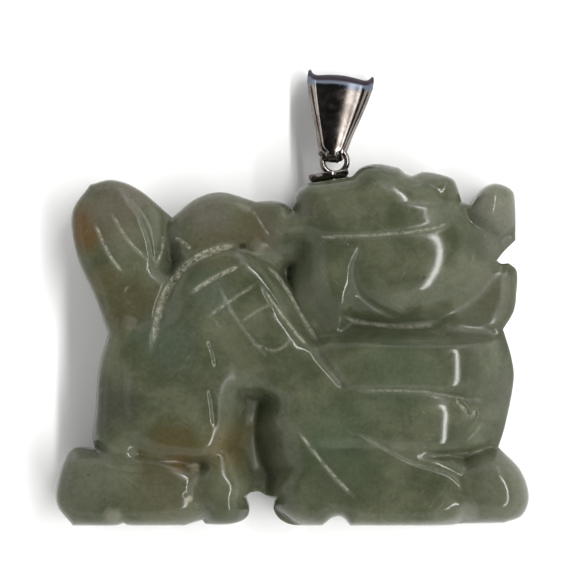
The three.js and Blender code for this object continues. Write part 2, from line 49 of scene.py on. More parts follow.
# The carved stone is drawn in shares, hundredths of its length, from its lower left corner.
# A mass is a dome: at is its middle, long and wide are half sizes, lean is in degrees, rise is
# a part of faceHeight, and power goes from 2, round, to 8, flat topped. With square over 2 its
# plan is squarer, and back is its half size towards the tail, where that differs.
stone = {
    "faceHeight": 13.7,      # from the plane of the outline to the highest point of the face
    "backDepth": 11.09,      # from that plane to the ground back
    "rimHeight": 4.35,       # half the upright band around the edge
    "edgeRadius": 5.2,
    "edgePower": 3,          # 2 is a plain quarter round
    "softness": 0.05,        # how the masses flow together
    "ground": 0.4,           # height between the masses, as a part of faceHeight
    "facePitch": 0.34,       # spacing of the mesh
    "backPitch": 0.75,
    "rimPitch": 0.4,
    "rimRows": [0.06, 0.2, 0.42],
    "wallRows": 6,
    "cutFade": 0.18,         # part of a cut's length over which its ends fade
    "cutEnd": 0.15,          # how deep its very ends still are
    "cutStep": 0.8,
    "cutRim": 1.3,           # how near the edge the cuts run out
    "outline": {
        "hindSole": [(3.6, 0), (12.3, 0), (14.4, 0.5), (16.2, 0), (27.2, 0)],
        "hindNotch": [(27.2, 0), (29, 0.6), (31, 1.2)],
        "hindToes": [(31, 1.2), (32.1, 0.3), (37.2, 0.3), (40.2, 1.6), (40.9, 3.6), (40.2, 5.9)],
        "belly": [(40.2, 5.9), (41, 6.8), (42.8, 7.2), (44.4, 6.4), (46.3, 5.5)],
        "foreHeel": [(46.3, 5.5), (46.1, 3.3), (47.6, 1.2), (50.5, 0.1), (56.3, 0)],
        "foreNotch": [(56.3, 0), (58.6, 1.7), (60.5, 1.8), (62.2, 0)],
        "foreSole": [(62.2, 0), (81.3, 0), (86, 0.4), (94.7, 0.5)],
        "foreToes": [(94.7, 0.5), (98.6, 2.1), (100.1, 6.3), (98.3, 11.8), (93.6, 16.6)],
        "chest": [(93.6, 16.6), (95.1, 21.4), (96.8, 30.3), (96.4, 35.4), (94.6, 41.5)],
        "chin": [(94.6, 41.5), (96.8, 45.2), (97.4, 49), (97.5, 53.7), (95.8, 55.5)],
        "lowerLip": [(95.8, 55.5), (94.1, 55.4), (93.2, 56.1)],
        "upperLip": [(93.2, 56.1), (95.1, 58.3), (97.2, 60.3)],
        "nose": [(97.2, 60.3), (97.2, 67.9), (96.4, 71), (93, 72.4),
                 (90, 71.1), (87.8, 68.2), (85.8, 68.5)],
        "brow": [(85.8, 68.5), (84.9, 71.6), (83.4, 73.6), (78.1, 74.8), (75, 74), (72.4, 75.7)],
        "crest": [(72.4, 75.7), (68.2, 76.5), (64.6, 75.8), (62.6, 73.9)],
        "capSeat": [(62.6, 73.9), (53.2, 72.4)],
        "nape": [(53.2, 72.4), (50.7, 70.2), (50, 66.6)],
        "backNub": [(50, 66.6), (48.4, 68.1), (45.8, 68.7), (42.3, 68.5)],
        "back": [(42.3, 68.5), (35, 70.5), (29.4, 69), (24.6, 65.1)],
        "tailTop": [(24.6, 65.1), (17.6, 71), (12, 73.1), (7.2, 72.1)],
        "tailBack": [(7.2, 72.1), (3.4, 66), (4.4, 57), (8.4, 48), (11, 40.7)],
        "rump": [(11, 40.7), (9, 33), (8.4, 24.5), (7.7, 19), (8.4, 16.1)],
        "hindHeel": [(8.4, 16.1), (3.3, 16), (0.6, 10.5), (0.2, 4.6), (3.6, 0)],
    },
    "masses": {
        "head": {"at": (62, 53), "long": 33, "wide": 14.5, "lean": 0,
                 "rise": 0.8, "power": 2, "back": 12},
        "breast": {"at": (70, 29), "long": 29, "wide": 16, "lean": 0,
                   "rise": 0.86, "power": 3, "square": 3},
        "tail": {"at": (11.8, 60.5), "long": 16.5, "wide": 13.4, "lean": 108, "rise": 0.66, "power": 5},
        "tailRoot": {"at": (16, 44.5), "long": 12, "wide": 14, "lean": 108, "rise": 0.66, "power": 8},
        "hump": {"at": (35, 61), "long": 13, "wide": 10, "lean": 0, "rise": 0.64, "power": 8},
        "nub": {"at": (45.6, 60.5), "long": 9, "wide": 5.5, "lean": 80, "rise": 0.57, "power": 8},
        "wing": {"at": (38.5, 43.5), "long": 19, "wide": 13.8, "lean": -52, "rise": 0.86, "power": 8},
        "haunch": {"at": (26.5, 29), "long": 17, "wide": 14, "lean": 90,
                   "rise": 0.86, "power": 8, "square": 3},
        "thigh": {"at": (30, 40), "long": 13, "wide": 10, "lean": 60, "rise": 0.86, "power": 4},
        "rump": {"at": (14, 29), "long": 17, "wide": 9, "lean": 90, "rise": 0.8, "power": 8},
        "flank": {"at": (46.5, 36), "long": 14, "wide": 9, "lean": -40, "rise": 0.86, "power": 8},
        "hindFoot": {"at": (13.5, 7.2), "long": 24.5, "wide": 9.8, "lean": 0, "rise": 0.82, "power": 5},
        "hindToes": {"at": (35.6, 8.2), "long": 10.5, "wide": 6.4, "lean": 90,
                     "rise": 0.79, "power": 4},
        "shoulder": {"at": (56.5, 25.5), "long": 20, "wide": 13.5, "lean": 62,
                     "rise": 0.86, "power": 4},
        "chestUpper": {"at": (72.3, 33.6), "long": 23, "wide": 8, "lean": 0,
                       "rise": 0.97, "power": 4, "square": 4},
        "chestLower": {"at": (69.9, 21.9), "long": 22.5, "wide": 8, "lean": -3,
                       "rise": 0.95, "power": 4, "square": 4},
        "foreFoot": {"at": (68, 7.8), "long": 24, "wide": 11, "lean": 0, "rise": 0.89, "power": 8},
        "forePaw": {"at": (92.4, 7.2), "long": 11.5, "wide": 9.8, "lean": -10,
                    "rise": 0.95, "power": 2.6},
        "cheek": {"at": (69.6, 58.0), "long": 25.5, "wide": 17, "lean": 0,
                  "rise": 0.95, "power": 2.7, "back": 18},
        "jowl": {"at": (57, 52), "long": 15, "wide": 8.5, "lean": 85, "rise": 0.91, "power": 4},
        "muzzle": {"at": (86, 48.5), "long": 17, "wide": 9, "lean": 0, "rise": 0.47, "power": 6},
        "nose": {"at": (91.0, 69.4), "long": 10, "wide": 8.2, "lean": 105, "rise": 0.84, "power": 2},
        "crest": {"at": (62.8, 65.7), "long": 23.6, "wide": 15.8, "lean": -4,
                  "rise": 0.98, "power": 3.4},
        "browBand": {"at": (69, 64.2), "long": 17.5, "wide": 5, "lean": 4,
                     "rise": 0.93, "power": 6, "square": 3},
        "brow": {"at": (82, 68.5), "long": 7, "wide": 7, "lean": 10, "rise": 0.72, "power": 5},
    },
    # frost: how chalky the wheel left a cut, under 0.3 only dulled; a cut without it is painted
    # darker by its shade, as painted shade; fade: part of its length over which its ends fade
    "valleys": {
        "neckValley": {"wide": 3.9, "deep": 3.4, "shade": 0.3,
                       "path": [(50.3, 63.5), (51.2, 54), (53.9, 46), (59, 39.4)]},
        "legValley": {"wide": 5.4, "deep": 4.1, "shade": 0.4, "fade": 0.35,
                      "path": [(43.6, 24), (43.2, 16), (43.4, 7)]},
        "groin": {"wide": 3.8, "deep": 2.0, "shade": 0.6, "fade": 0.5,
                  "path": [(43.8, 29), (43.4, 25), (43.4, 21)]},
        "rumpHollow": {"wide": 3.4, "deep": 0.35, "shade": 0.2, "fade": 0.5,
                       "path": [(12.8, 39), (12.2, 30), (10.8, 18)]},
        "tailCleft": {"wide": 1.9, "deep": 2.2, "shade": 0.7, "fade": 0.5,
                      "path": [(24.6, 62.5), (24.4, 58), (23.6, 54.5)]},
    },
    "bothSides": {
        "mouthLine": {"wide": 1.3, "deep": 0.7, "frost": 0.3,
                      "path": [(92.6, 56), (90.5, 56.2), (87.6, 57)]},
        "browLine": {"wide": 0.8, "deep": 0.5, "frost": 0.5,
                     "path": [(51.6, 60.9), (60, 61), (68.6, 61.4), (79, 62.6), (86.7, 65.6)]},
        "jawLine": {"wide": 1.0, "deep": 0.7, "frost": 0.5,
                    "path": [(58.5, 45.4), (64, 43.2), (74, 42), (82.9, 42.8)]},
        "chestLine": {"wide": 0.6, "deep": 0.4, "frost": 0.5,
                      "path": [(62.2, 28.8), (76, 28.6), (84, 27.4), (91, 25.9)]},
        "pawLine": {"wide": 0.6, "deep": 0.4, "frost": 0.5,
                    "path": [(77, 14.6), (86, 15.4), (92.6, 16.4)]},
        "cheekRing": {"wide": 0.7, "deep": 0.45, "frost": 0.3,
                      "path": [(64.4, 60.4), (63.9, 57.5), (62.9, 54.5), (63.3, 51),
                               (65.3, 47.9), (70, 45), (74.5, 43.8)]},
        "arch": {"wide": 0.85, "deep": 0.75, "frost": 1.0,
                 "path": [(20.6, 36.7), (22.9, 48.1), (29.1, 56), (40.1, 60.2)]},
        "footLine": {"wide": 1.6, "deep": 0.35, "frost": 0.12,
                     "path": [(13.4, 19.5), (25, 14.5), (33.5, 13), (40, 14.8)]},
    },
    "faceOnly": {
        "throatLine": {"wide": 1.1, "deep": 0.3, "frost": 0.28,
                       "path": [(81.3, 41.5), (87.7, 40.6), (93.4, 41)]},
        "throatFold": {"wide": 0.8, "deep": 0.35, "frost": 0.2,
                       "path": [(63.5, 39.6), (76, 38.8), (89.8, 39.2)]},
        "forearmLine": {"wide": 0.45, "deep": 0.3, "frost": 0.45,
                        "path": [(62.6, 20.5), (74.9, 13.9), (83.8, 10.9), (86, 7.1)]},
        "elbowLine": {"wide": 0.45, "deep": 0.2, "frost": 0.7,
                      "path": [(50.2, 21.5), (57, 12.9), (63.5, 5.9)]},
        "archLower": {"wide": 0.5, "deep": 0.25, "frost": 0.9,
                      "path": [(28.2, 48.8), (33.4, 52.2), (39.5, 55.1)]},
        "bandUpper": {"wide": 0.5, "deep": 0.35, "frost": 0.8,
                      "path": [(43.4, 55.7), (47.2, 52.3), (52.4, 43.9), (56.3, 37.5)]},
        "bandLower": {"wide": 0.45, "deep": 0.25, "frost": 0.7,
                      "path": [(43.5, 50.7), (49.9, 41.8), (54.1, 37.1)]},
        "bandEnd": {"wide": 0.9, "deep": 0.9, "frost": 0.05,
                    "path": [(54.8, 37.8), (57.6, 33.6), (61.6, 29)]},
        "tailCutLow": {"wide": 0.45, "deep": 0.18, "frost": 0.7,
                       "path": [(8.3, 64.3), (11.4, 57.6), (14.9, 52.8)]},
        "tailCutMiddle": {"wide": 0.4, "deep": 0.18, "frost": 0.6,
                          "path": [(11.9, 66.4), (15.5, 60.4), (19.7, 56.2)]},
        "tailCutHigh": {"wide": 0.4, "deep": 0.24, "frost": 0.1,
                        "path": [(17.8, 65.5), (19.9, 60), (21, 53)]},
        "heelLine": {"wide": 0.7, "deep": 0.15, "frost": 0.28,
                     "path": [(9.5, 14.6), (13.5, 12.6), (19.9, 12)]},
        "toeLine": {"wide": 0.8, "deep": 0.28, "frost": 0.4,
                    "path": [(31.2, 12.6), (29, 7.5), (30.8, 2.2)]},
        "tailCutInner": {"wide": 0.5, "deep": 0.2, "frost": 0.6,
                         "path": [(22.7, 62.1), (22.5, 58.3), (21, 54.5)]},
        "humpCut": {"wide": 0.4, "deep": 0.16, "frost": 0.6,
                    "path": [(41.4, 67.2), (43.5, 63.8), (45.6, 60.7)]},
        "humpDash": {"wide": 0.5, "deep": 0.2, "frost": 0.8,
                     "path": [(24.9, 60.9), (26.5, 60.2), (28.9, 58.3)]},
        "scaleA": {"wide": 0.45, "deep": 0.14, "frost": 0.6,
                   "path": [(32.1, 43.9), (36.6, 47.2), (42.9, 51.3)]},
        "scaleB": {"wide": 0.4, "deep": 0.12, "frost": 0.5,
                   "path": [(38.9, 42.8), (43.5, 45.8), (47.3, 47.3)]},
        "scaleC": {"wide": 0.4, "deep": 0.12, "frost": 0.5,
                   "path": [(41.4, 39), (46.3, 37.1), (50.1, 39.2)]},
        "scaleD": {"wide": 0.4, "deep": 0.12, "frost": 0.5,
                   "path": [(34.5, 51.5), (36.6, 47), (40, 41.5), (45.2, 35.4)]},
        "scaleE": {"wide": 0.4, "deep": 0.12, "frost": 0.5,
                   "path": [(44.2, 49.9), (47.6, 44.9), (50.6, 40.5)]},
        "chestVee": {"wide": 0.45, "deep": 0.7, "frost": 0.9,
                     "path": [(83.9, 27.1), (86.2, 24.8), (87.9, 22.9), (88.5, 25.2)]},
        "chestSlant": {"wide": 0.4, "deep": 0.15, "frost": 0.5,
                       "path": [(86, 17.5), (88.7, 20), (90.3, 22.4)]},
        "haunchLineHigh": {"wide": 0.45, "deep": 0.3, "frost": 0.02,
                           "path": [(32.4, 39.6), (33.6, 36.4), (34.1, 33.2)]},
        "haunchLineLow": {"wide": 0.45, "deep": 0.3, "frost": 0.02,
                          "path": [(32.6, 29.3), (33.3, 25.5), (33.7, 21.2)]},
        "haunchEdge": {"wide": 2.4, "deep": 0.3, "shade": 0.45, "fade": 0.5,
                       "path": [(38.4, 34), (37.6, 28), (37.2, 22), (37.4, 15)]},
        "lipShade": {"wide": 1.6, "deep": 0.1, "frost": 0.28,
                     "path": [(92.5, 57), (95, 59.2), (96.7, 61)]},
        "nubShade": {"wide": 2.4, "deep": 0.05, "frost": 0.28,
                     "path": [(45.8, 66.5), (47.2, 64.6), (48.6, 62.5)]},
        "cheekShade": {"wide": 2.0, "deep": 0.05, "frost": 0.28,
                       "path": [(92.5, 54.5), (91, 51.5), (87.5, 48.2), (83, 45.6)]},
        "chinShade": {"wide": 1.8, "deep": 0.05, "frost": 0.28,
                      "path": [(95.2, 54), (95.6, 49.5), (94.5, 45.3), (92.8, 42.6)]},
        "browShade": {"wide": 1.7, "deep": 0.05, "frost": 0.28,
                      "path": [(78.4, 67.2), (80.2, 65.6), (79.4, 63.6)]},
        "haunchShade": {"wide": 1.3, "deep": 0.02, "frost": 0.28, "fade": 0.4,
                        "path": [(37.6, 32.8), (36.3, 29), (35.6, 24), (35.2, 17.5)]},
        "crestShade": {"wide": 1.4, "deep": 0.02, "frost": 0.28,
                       "path": [(66.5, 75), (69, 73), (71.5, 70.8)]},
        "nubFoot": {"wide": 1.6, "deep": 0.05, "frost": 0.28,
                    "path": [(41.4, 60.4), (42.8, 58.8), (43.2, 56.8)]},
        "rootShade": {"wide": 1.8, "deep": 0.03, "frost": 0.28,
                      "path": [(14.2, 44), (15.7, 43.1), (17.2, 42.2)]},
        "tailShade": {"wide": 1.0, "deep": 0.03, "frost": 0.28,
                      "path": [(14.6, 69.6), (17, 66.9), (19, 63.6), (20.3, 60.5)]},
        "tailFoot": {"wide": 1.0, "deep": 0.03, "frost": 0.28,
                     "path": [(20.6, 54), (22, 52.4), (23, 50.8)]},
        "footCrease": {"wide": 0.8, "deep": 0.35, "frost": 0.1,
                       "path": [(26.6, 14.2), (29, 12.5), (33, 12.6)]},
        "pitInFoot": {"wide": 1.1, "deep": 0.6, "frost": 0.5, "path": [(28.2, 5.6), (29, 6.4)]},
        "pitOverFoot": {"wide": 0.8, "deep": 0.4, "frost": 0.5,
                        "path": [(27.4, 12.4), (29.2, 12.8)]},
    },
    # clouds of other colour, a few of them painted light or shade: middle and reach in shares,
    # linear colour, strength
    "clouds": {
        "rustTailEdge": ((5.5, 63), 7, (0.084, 0.050, 0.020), 0.85),
        "rustTailFoot": ((9, 52), 6, (0.066, 0.054, 0.024), 0.60),
        "purpleTailTop": ((13, 68), 9, (0.097, 0.081, 0.062), 0.65),
        "purpleHump": ((32, 66), 9, (0.096, 0.086, 0.070), 0.70),
        "brownHump": ((42, 63), 8, (0.072, 0.060, 0.034), 0.70),
        "brownArch": ((34, 58.5), 8, (0.068, 0.060, 0.033), 0.60),
        "oliveTailRoot": ((16, 46), 9, (0.052, 0.044, 0.020), 0.8),
        "blueFlank": ((23, 40), 10, (0.052, 0.067, 0.047), 0.65),
        "blueWing": ((33, 50), 7, (0.063, 0.078, 0.057), 0.45),
        "brownFootBand": ((25, 15), 10, (0.054, 0.044, 0.015), 0.80),
        "brownFootRight": ((36.5, 16.5), 8, (0.076, 0.061, 0.022), 0.75),
        "greyHeel": ((7, 9), 10, (0.079, 0.081, 0.059), 0.55),
        # greyRumpAndShade: darker grey on the receding rump, partly the stone's own grey and partly
        # painted shade in place of a rump hollow's shading
        "greyRumpAndShade": ((10.5, 26), 8, (0.044, 0.043, 0.033), 0.70),
        "greenShoulder": ((60, 18), 13, (0.049, 0.068, 0.038), 0.60),
        "greenChest": ((72, 32), 12, (0.052, 0.069, 0.041), 0.55),
        # the pale clouds along the right rim, from the nose down to the paw, are painted light falling
        # from the right
        "rimLitNose": ((95, 62), 9, (0.080, 0.080, 0.060), 0.70),
        "rimLitChin": ((94, 48), 9, (0.070, 0.068, 0.044), 0.65),
        "rimLitThroat": ((87, 41), 7, (0.074, 0.074, 0.053), 0.60),
        "rimLitChest": ((95, 28), 8, (0.066, 0.070, 0.050), 0.60),
        "rimLitPaw": ((94, 9), 10, (0.090, 0.093, 0.066), 0.65),
        "paleTail": ((14.5, 60.5), 6, (0.102, 0.096, 0.068), 0.60),
        "brownFootMiddle": ((24, 7), 11, (0.066, 0.061, 0.036), 0.60),
        "paleSnout": ((91, 69), 6, (0.135, 0.131, 0.101), 0.80),
        "darkJaw": ((62.5, 46), 10, (0.034, 0.041, 0.021), 0.75),
        "darkBack": ((57.5, 60.5), 6, (0.042, 0.048, 0.028), 0.80),
        "darkForeFoot": ((59, 8), 7, (0.044, 0.052, 0.030), 0.80),
        "darkNape": ((53, 66), 6, (0.047, 0.044, 0.030), 0.60),
    },
    # small spots that keep their place, some of them painted highlights and glints as marked
    "spots": {
        # hindSoleHighlight and foreSoleHighlight: painted highlights where the rounded edges at the
        # sole notches catch the light
        "hindSoleHighlight": ((12.4, 2.2), 2.6, (0.150, 0.145, 0.110), 0.55),
        "foreSoleHighlight": ((87, 3.0), 3.0, (0.150, 0.150, 0.118), 0.55),
        # pitGlint and toeGlint: painted glints in the two small pits of the hind foot
        "pitGlint": ((28.3, 5.9), 1.1, (0.260, 0.250, 0.190), 0.80),
        "toeGlint": ((29.4, 12.5), 1.4, (0.220, 0.200, 0.140), 0.70),
        "rustSpot": ((26.5, 13.5), 3.0, (0.082, 0.056, 0.022), 0.60),
        "archSpotLow": ((29.2, 56.2), 1.1, (0.014, 0.012, 0.008), 0.85),
        "archSpotMiddle": ((31.0, 57.4), 0.8, (0.016, 0.013, 0.009), 0.80),
        "archSpotHigh": ((39.5, 59.0), 1.0, (0.020, 0.016, 0.010), 0.80),
        "cheekSpot": ((77.5, 52.5), 0.7, (0.020, 0.020, 0.014), 0.60),
    },
}


# A smooth curve through points, as points a pitch apart
def smoothChain(points, pitch):
    p = np.array(points, float)
    ends = np.vstack([2 * p[0] - p[1], p, 2 * p[-1] - p[-2]])
    t = np.linspace(0, 1, 24, endpoint=False)[:, None]
    spans = []
    for a, b, c, d in zip(ends, ends[1:], ends[2:], ends[3:]):
        bend, twist = 2 * a - 5 * b + 4 * c - d, 3 * b - a - 3 * c + d
        spans.append((2 * b + (c - a) * t + bend * t**2 + twist * t**3) / 2)
    fine = np.vstack([*spans, p[-1:]])
    length = np.append(0, np.cumsum(np.hypot(*np.diff(fine, axis=0).T)))
    at = np.linspace(0, length[-1], max(2, round(length[-1] / pitch)) + 1)
    return np.column_stack([np.interp(at, length, fine[:, k]) for k in (0, 1)])


# How far each point is from a chain, and how far along the chain its nearest place is
def nearestOn(points, chain):
    best = np.full(len(points), np.inf)
    along = np.zeros(len(points))
    for i, (a, b) in enumerate(zip(chain, chain[1:])):
        step = b - a
        t = np.clip((points - a) @ step / (step @ step), 0, 1)
        distance = np.hypot(*(a + t[:, None] * step - points).T)
        closer = distance < best
        best[closer] = distance[closer]
        along[closer] = (i + t[closer]) / (len(chain) - 1)
    return best, along


def isInside(points, loop):
    inside = np.zeros(len(points), bool)
    x, y = points.T
    for a, b in zip(loop, np.roll(loop, -1, axis=0)):
        if a[1] != b[1]:
            crosses = (a[1] > y) != (b[1] > y)
            inside ^= crosses & (x < a[0] + (y - a[1]) * (b[0] - a[0]) / (b[1] - a[1]))
    return inside


def smoothStep(t):
    t = np.clip(t, 0, 1)
    return t * t * (3 - 2 * t)


# Height over the plane of the outline, how chalky the stone is there, and how hollow, which
# sets the painted shade and the extra roughness in the hollows
def reliefAt(points, rimDistance, cuts):
    k = stone["softness"]
    total = np.full(len(points), math.exp(stone["ground"] / k))
    for mass in stone["masses"].values():
        angle = math.radians(mass["lean"])
        dx, dy = (points - mass["at"]).T
        u = dx * math.cos(angle) + dy * math.sin(angle)
        u = u / np.where(u < 0, mass.get("back", mass["long"]), mass["long"])
        v = (dy * math.cos(angle) - dx * math.sin(angle)) / mass["wide"]
        square = mass.get("square", 2)
        r = (np.abs(u) ** square + np.abs(v) ** square) ** (1 / square)
        dome = np.sqrt(np.clip(1 - r ** mass["power"], 0, None))
        total += np.exp(mass["rise"] * dome / k)
    t = np.clip(rimDistance / stone["edgeRadius"], 0, 1)
    rim = stone["rimHeight"]
    edge = (1 - (1 - t) ** stone["edgePower"]) ** (1 / stone["edgePower"])
    height = rim + (k * np.log(total) * stone["faceHeight"] - rim) * edge
    frost = np.zeros(len(points))
    hollowShade = np.zeros(len(points))
    nearRim = np.clip(rimDistance / stone["cutRim"], 0, 1)
    for cut in cuts:
        distance, along = nearestOn(points, smoothChain(cut["path"], stone["cutStep"]))
        ends = smoothStep(np.minimum(along, 1 - along) / cut.get("fade", stone["cutFade"]))
        fade = stone["cutEnd"] + (1 - stone["cutEnd"]) * ends
        across = np.exp(-(distance / cut["wide"]) ** 2) * fade
        height -= cut["deep"] * across * nearRim
        if "frost" in cut:
            frost = np.maximum(frost, cut["frost"] * across)
        else:
            hollowShade = np.maximum(hollowShade, cut.get("shade", 1) * across)
    return height, frost, hollowShade


# Plan points of one face and the triangles between them; the first points are the outline's
def planMesh(loop, pitch):
    low, high = loop.min(0), loop.max(0)
    rows = np.arange(low[1], high[1], pitch * math.sqrt(0.75))
    columns = np.arange(low[0], high[0], pitch)
    field = np.vstack([np.column_stack([columns + (i % 2) * pitch / 2, np.full(len(columns), y)])
                       for i, y in enumerate(rows)])
    closed = np.vstack([loop, loop[:1]])
    field = field[isInside(field, loop)]
    field = field[nearestOn(field, closed)[0] > stone["rimRows"][-1] + pitch / 2]
    middle = (loop + np.roll(loop, -1, axis=0)) / 2
    step = np.roll(loop, -1, axis=0) - loop
    inward = np.column_stack([-step[:, 1], step[:, 0]]) / np.hypot(*step.T)[:, None]
    rimRows = []
    for offset in stone["rimRows"]:
        row = middle + inward * offset
        rimRows.append(row[(nearestOn(row, closed)[0] > offset * 0.95) & isInside(row, loop)])
    points = np.vstack([loop, *rimRows, field])
    edges = [(i, (i + 1) % len(loop)) for i in range(len(loop))]
    made, _, faces, origins, _, _ = delaunay_2d_cdt([Vector(p) for p in points], edges, [], 1, 1e-6)
    points = np.array([tuple(p) for p in made])
    place = {first: new for new, found in enumerate(origins) for first in found}
    rim = [place[i] for i in range(len(loop))]
    return points, np.array(faces), rim, closed


def addPiece(name, vertices, faces, material, smooth=True):
    mesh = bpy.data.meshes.new(name)
    mesh.from_pydata(vertices, [], faces)
    mesh.materials.append(material)
    if smooth:
        mesh.shade_smooth()
    piece = bpy.data.objects.new(name, mesh)
    bpy.context.scene.collection.objects.link(piece)
    return piece


# The outline, one share in metres, where share (0, 0) lies, and the height of the outline's plane
def layOutStone():
    stretches = [smoothChain(points, stone["rimPitch"])[:-1] for points in stone["outline"].values()]
    loop = np.vstack(stretches)
    low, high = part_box("stone_carving")
    share = (high.x - low.x) / np.ptp(loop[:, 0])
    corner = np.array([low.x, low.y]) - loop.min(0) * share
    return loop, share, corner, low.z + stone["backDepth"] * share


def makeStone(material, loop, share, corner, middle):
    valleys = list(stone["valleys"].values())
    bothSides = list(stone["bothSides"].values())
    faceCuts = valleys + bothSides + list(stone["faceOnly"].values())
    vertices, faces, looks, rims = [], [], [], []
    sides = ((stone["facePitch"], faceCuts, 1), (stone["backPitch"], valleys + bothSides, -1))
    for pitch, cuts, side in sides:
        points, triangles, rim, closed = planMesh(loop, pitch)
        height, frost, hollowShade = reliefAt(points, nearestOn(points, closed)[0], cuts)
        height[rim] = stone["rimHeight"]
        if side < 0:
            height = np.minimum(height, stone["backDepth"])
        start = sum(len(part) for part in vertices)
        vertices.append(np.column_stack([points * share + corner, middle + side * height * share]))
        faces.extend((triangles[:, ::side] + start).tolist())
        looks.append(np.column_stack([frost, hollowShade]))
        rims.append([start + i for i in rim])
    rows = [rims[0]]
    for t in np.linspace(1, -1, stone["wallRows"] + 1)[1:-1]:
        start = sum(len(part) for part in vertices)
        height = middle + t * stone["rimHeight"] * share
        vertices.append(np.column_stack([loop * share + corner, np.full(len(loop), height)]))
        looks.append(np.zeros((len(loop), 2)))
        rows.append(list(range(start, start + len(loop))))
    rows.append(rims[1])
    for upper, lower in zip(rows, rows[1:]):
        for i in range(len(loop)):
            j = (i + 1) % len(loop)
            faces.append((upper[i], lower[i], lower[j], upper[j]))
    piece = addPiece("carvedStone", np.vstack(vertices).tolist(), faces, material)
    for k, name in enumerate(("frost", "hollowShade")):
        attribute = piece.data.attributes.new(name, "FLOAT", "POINT")
        attribute.data.foreach_set("value", np.vstack(looks)[:, k].astype(np.float32))
    return piece


def addNode(tree, kind, inputs=None, **settings):
    node = tree.nodes.new(kind)
    for key, value in settings.items():
        setattr(node, key, value)
    for key, value in (inputs or {}).items():
        if isinstance(value, bpy.types.NodeSocket):
            tree.links.new(value, node.inputs[key])
        else:
            node.inputs[key].default_value = value
    return node


def newMaterial(name):
    material = bpy.data.materials.new(name)
    material.use_nodes = True
    tree = material.node_tree
    return material, tree, tree.nodes["Principled BSDF"]


def mathNode(tree, operation, a, b=0.0, clamp=False):
    node = addNode(tree, "ShaderNodeMath", {0: a, 1: b}, operation=operation, use_clamp=clamp)
    return node.outputs[0]


def vectorMath(tree, operation, a, b, output=0):
    return addNode(tree, "ShaderNodeVectorMath", {0: a, 1: b}, operation=operation).outputs[output]


def mapped(tree, vector, **inputs):
    return addNode(tree, "ShaderNodeMapping", {"Vector": vector, **inputs}).outputs[0]


def mixColour(tree, factor, a, b, blend="MIX"):
    inputs = {0: factor, 6: a, 7: b}
    node = addNode(tree, "ShaderNodeMix", inputs, data_type="RGBA", blend_type=blend)
    return node.outputs[2]


def ramp(tree, value, fromLow, fromHigh, toLow=0.0, toHigh=1.0):
    inputs = {"Value": value, "From Min": fromLow, "From Max": fromHigh,
              "To Min": toLow, "To Max": toHigh}
    return addNode(tree, "ShaderNodeMapRange", inputs, interpolation_type="SMOOTHSTEP").outputs[0]


def noise(tree, vector, scale, detail=3.0, roughness=0.5):
    inputs = {"Vector": vector, "Scale": scale, "Detail": detail, "Roughness": roughness}
    return addNode(tree, "ShaderNodeTexNoise", inputs).outputs[0]


stoneLook = {
    "deep": (0.043, 0.0495, 0.0265, 1),
    "pale": (0.080, 0.087, 0.054, 1),
    # hollow: painted shade laid into the valleys and into the cuts without frost
    "hollowShade": (0.031, 0.036, 0.021, 1),
    "chalk": (0.330, 0.325, 0.250, 1),
    "speck": (0.014, 0.014, 0.009, 1),
    "mottle": 260,                 # noise scales, per metre
    "grain": 2600,
    "specks": 1500,
    "dimples": 900,
    "chalkBreaks": 1900,
    "chalkGrain": 7500,
    "scratch": (5200, 120),        # across and along
    "scratchWidth": 0.012,
    "scratchPatches": 420,
    "cloudDrift": (170, 12),       # noise scale, and how far in shares it moves the clouds
    "spotDrift": (1400, 1.6),
    "marks": 0.22,                 # how pale the scratches are
    "roughness": 0.12,
    "hollowShadeRoughness": 0.60,
    "chalkRoughness": 1.15,
    "markRoughness": 0.6,
}


# Fine scratches that run one way: thin contours of a noise drawn out along them, in places only
def scratches(tree, place, angle, seed):
    across, along = stoneLook["scratch"]
    level = mapped(tree, place, Rotation=(0, 0, math.radians(angle)))
    drawn = mapped(tree, level, Location=(seed, seed / 2, 0), Scale=(across, along, along))
    offMiddle = mathNode(tree, "SUBTRACT", noise(tree, drawn, 1.0, 1.0, 0.4), 0.5)
    offMiddle = mathNode(tree, "ABSOLUTE", offMiddle)
    line = ramp(tree, offMiddle, 0.0, stoneLook["scratchWidth"], 1.0, 0.0)
    where = vectorMath(tree, "ADD", place, (seed, 0, seed))
    patches = ramp(tree, noise(tree, where, stoneLook["scratchPatches"], 2.0, 0.5), 0.56, 0.70)
    return mathNode(tree, "MULTIPLY", line, patches)


# Lays each spot's tint over the colour, full inside the core and gone at its reach
def tintedSpots(tree, colour, vector, spots, share, corner, core):
    for at, reach, tint, strength in spots.values():
        middle = (at[0] * share + corner[0], at[1] * share + corner[1], 0)
        away = vectorMath(tree, "DISTANCE", vector, middle, "Value")
        factor = ramp(tree, away, core * reach * share, reach * share, strength, 0.0)
        colour = mixColour(tree, factor, colour, (*tint, 1))
    return colour


# The place in plan, moved about by a noise, so that the clouds have ragged edges
def wandered(tree, place, drift, share):
    scale, far = drift
    inputs = {"Vector": place, "Scale": scale, "Detail": 4.0}
    step = addNode(tree, "ShaderNodeTexNoise", inputs).outputs["Color"]
    step = vectorMath(tree, "SUBTRACT", step, (0.5, 0.5, 0.5))
    inputs = {0: step, "Scale": far * share}
    step = addNode(tree, "ShaderNodeVectorMath", inputs, operation="SCALE").outputs[0]
    return vectorMath(tree, "MULTIPLY", vectorMath(tree, "ADD", place, step), (1, 1, 0))


